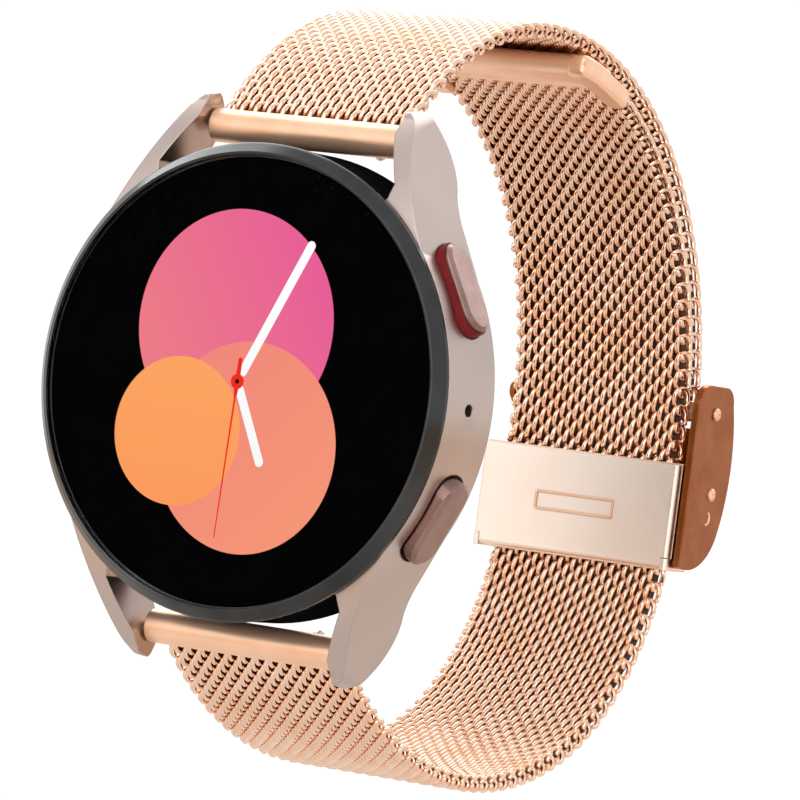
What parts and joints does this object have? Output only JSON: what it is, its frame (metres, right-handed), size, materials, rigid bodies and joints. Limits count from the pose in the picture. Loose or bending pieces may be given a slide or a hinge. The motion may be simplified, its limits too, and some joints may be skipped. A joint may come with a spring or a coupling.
{
  "type": "smartwatch",
  "caption": "Round smartwatch with two side buttons on a closed woven-mesh metal band with a sliding folding clasp; buttons, quick-release bars, clasp and band move.",
  "frame": {"origin": "centre of the cover glass's front face", "axes": "+X to 3 o'clock (the buttons' side), +Z to 12 o'clock, +Y from the face into the wrist"},
  "size_m": [0.043, 0.0713, 0.0702],
  "materials": {
    "case_metal": "satin, bead-blasted pink gold",
    "bezel_metal": "polished dark grey",
    "cover_glass": "polished",
    "display": "black panel with a lit dial",
    "adhesive": "black film",
    "inner_plastic": "moulded black",
    "inner_metal": "plain",
    "battery_wrap": "laminated foil",
    "board": "solder mask",
    "copper": "wound wire",
    "rear_plastic": "glossy black",
    "rear_glass": "polished dark glass",
    "sensor_parts": "clear lenses",
    "seal": "black",
    "button_metal": "brushed, with polished edges",
    "button_trim": "dark red",
    "band_mesh": "woven rose-gold steel wire",
    "band_polished": "polished rose gold",
    "clasp_plate": "satin rose gold",
    "steel": "plain"
  },
  "bodies": {
    "case": {"case_frame": "case_metal", "bezel_ring": "bezel_metal", "cover_glass": "cover_glass", "glass_adhesive": "adhesive", "display_panel": "display", "display_bracket": "inner_metal", "battery": "battery_wrap", "inner_cradle": "inner_plastic", "vibration_motor": "inner_metal", "speaker": "inner_plastic", "microphone": "inner_metal", "main_board": "board", "board_shields": "inner_metal", "button_switches": "inner_metal", "rear_housing": "rear_plastic", "rear_gasket": "seal", "rear_screws": "steel", "sensor_window": "rear_glass", "charging_coil": "copper", "sensor_board": "board", "sensor_lights": "sensor_parts", "upper_bar_tube": "steel", "lower_bar_tube": "steel", "upper_bar_spring": "steel", "lower_bar_spring": "steel"},
    "upper_button": {"upper_button": "button_metal", "upper_button_seal": "seal", "upper_button_trim": "button_trim"},
    "lower_button": {"lower_button": "button_metal", "lower_button_seal": "seal"},
    "upper_lever": {"upper_release_lever": "steel"},
    "lower_lever": {"lower_release_lever": "steel"},
    "upper_band_front": {"upper_end_tube": "band_polished", "upper_mesh_front": "band_mesh"},
    "upper_band_back": {"upper_mesh_back": "band_mesh", "end_wrap": "band_polished", "cover_hinge_pin": "band_polished"},
    "cover": {"clasp_cover": "band_polished", "cover_rivets": "band_polished"},
    "lower_band_front": {"lower_end_tube": "band_polished", "lower_mesh_front": "band_mesh"},
    "lower_band_back": {"lower_mesh_back": "band_mesh", "slider_box": "band_polished", "lock_plate_pin": "steel"},
    "lock_plate": {"lock_plate": "clasp_plate"},
    "tail": {"tail_mesh": "band_mesh", "tip_cap": "band_polished"}
  },
  "joints": [
    {"name": "band_open", "type": "hinge", "parent": "case", "child": "upper_band_front", "pos_m": [0, 0.0076, 0.0223], "axis": [1, 0, 0], "range_deg": [0, 35]},
    {"name": "upper_flex", "type": "hinge", "parent": "upper_band_front", "child": "upper_band_back", "pos_m": [0, 0.0457, 0.03331], "axis": [1, 0, 0], "range_deg": [0, 21]},
    {"name": "lower_swing", "type": "hinge", "parent": "case", "child": "lower_band_front", "pos_m": [0, 0.0076, -0.0223], "axis": [1, 0, 0], "range_deg": [-21, 0]},
    {"name": "lower_flex", "type": "hinge", "parent": "lower_band_front", "child": "lower_band_back", "pos_m": [0, 0.05724, -0.02668], "axis": [1, 0, 0], "range_deg": [-8.75, 0]},
    {"name": "tail_flex", "type": "hinge", "parent": "lower_band_back", "child": "tail", "pos_m": [0, 0.064, -0.00199], "axis": [1, 0, 0], "range_deg": [0, 25]},
    {"name": "lock_plate_open", "type": "hinge", "parent": "lower_band_back", "child": "lock_plate", "pos_m": [0, 0.06294, -0.012], "axis": [1, 0, 0], "range_deg": [0, 75]},
    {"name": "cover_open", "type": "hinge", "parent": "upper_band_back", "child": "cover", "pos_m": [0, 0.06685, 0.0028], "axis": [1, 0, 0], "range_deg": [0, 100]},
    {"name": "upper_button_press", "type": "slide", "parent": "case", "child": "upper_button", "axis": [-0.8788, 0, -0.4772], "range_m": [0, 0.0003], "stiffness_N_per_m": 6000},
    {"name": "lower_button_press", "type": "slide", "parent": "case", "child": "lower_button", "axis": [-0.891, 0, 0.454], "range_m": [0, 0.0003], "stiffness_N_per_m": 6000},
    {"name": "upper_lever_slide", "type": "slide", "parent": "case", "child": "upper_lever", "axis": [-1, 0, 0], "range_m": [0, 0.001], "stiffness_N_per_m": 1500},
    {"name": "lower_lever_slide", "type": "slide", "parent": "case", "child": "lower_lever", "axis": [-1, 0, 0], "range_m": [0, 0.001], "stiffness_N_per_m": 1500}
  ],
  "couplings": [
    {"joint": "upper_flex", "follows": "band_open", "ratio": 0.6},
    {"joint": "lower_swing", "follows": "band_open", "ratio": -0.6},
    {"joint": "lower_flex", "follows": "band_open", "ratio": -0.25}
  ]
}
